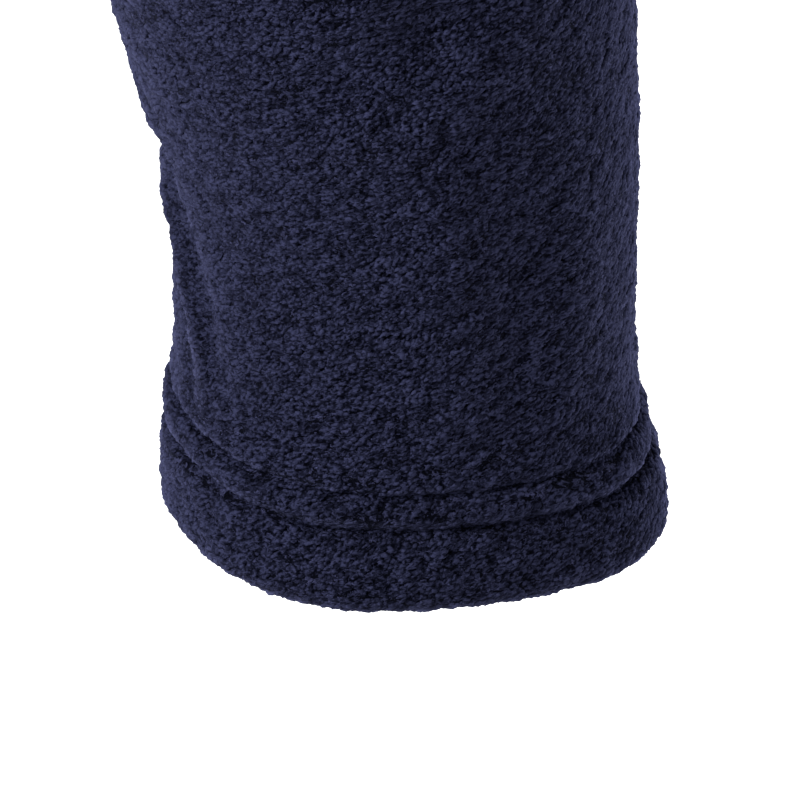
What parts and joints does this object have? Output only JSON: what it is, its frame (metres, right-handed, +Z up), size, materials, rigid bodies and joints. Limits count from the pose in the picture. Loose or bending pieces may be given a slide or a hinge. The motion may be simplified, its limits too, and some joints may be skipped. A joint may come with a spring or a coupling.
{
  "type": "fleece zip jacket",
  "caption": "Long-sleeved fleece jacket with a stand collar and a full front zip, hollow and in its worn shape, with plain twin-stitched hems.",
  "frame": {"origin": "middle of the neck at the height of the neckline, where the wearer's shoulders carry the jacket", "axes": "+Z up, the front faces -Y, +X towards the wearer's left"},
  "size_m": [0.8574, 0.271, 0.719],
  "materials": {
    "fleece": "napped polyester knit",
    "zip_tape": "woven tape",
    "zip_teeth": "moulded",
    "zip_metal": "painted"
  },
  "bodies": {
    "jacket": {"back": "fleece", "front_left": "fleece", "front_right": "fleece", "sleeve_left": "fleece", "sleeve_right": "fleece", "collar": "fleece", "zip_tape_left": "zip_tape", "zip_tape_right": "zip_tape", "zip_chain": "zip_teeth", "zip_box": "zip_teeth", "zip_slider": "zip_metal", "zip_stop_left": "zip_teeth", "zip_stop_right": "zip_teeth"},
    "pull": {"zip_pull": "zip_metal"}
  },
  "joints": [
    {"name": "pull_hinge", "type": "hinge", "parent": "jacket", "child": "pull", "pos_m": [0, -0.07087, 0.01229], "axis": [-1, 0, 0], "range_deg": [0, 160]}
  ]
}
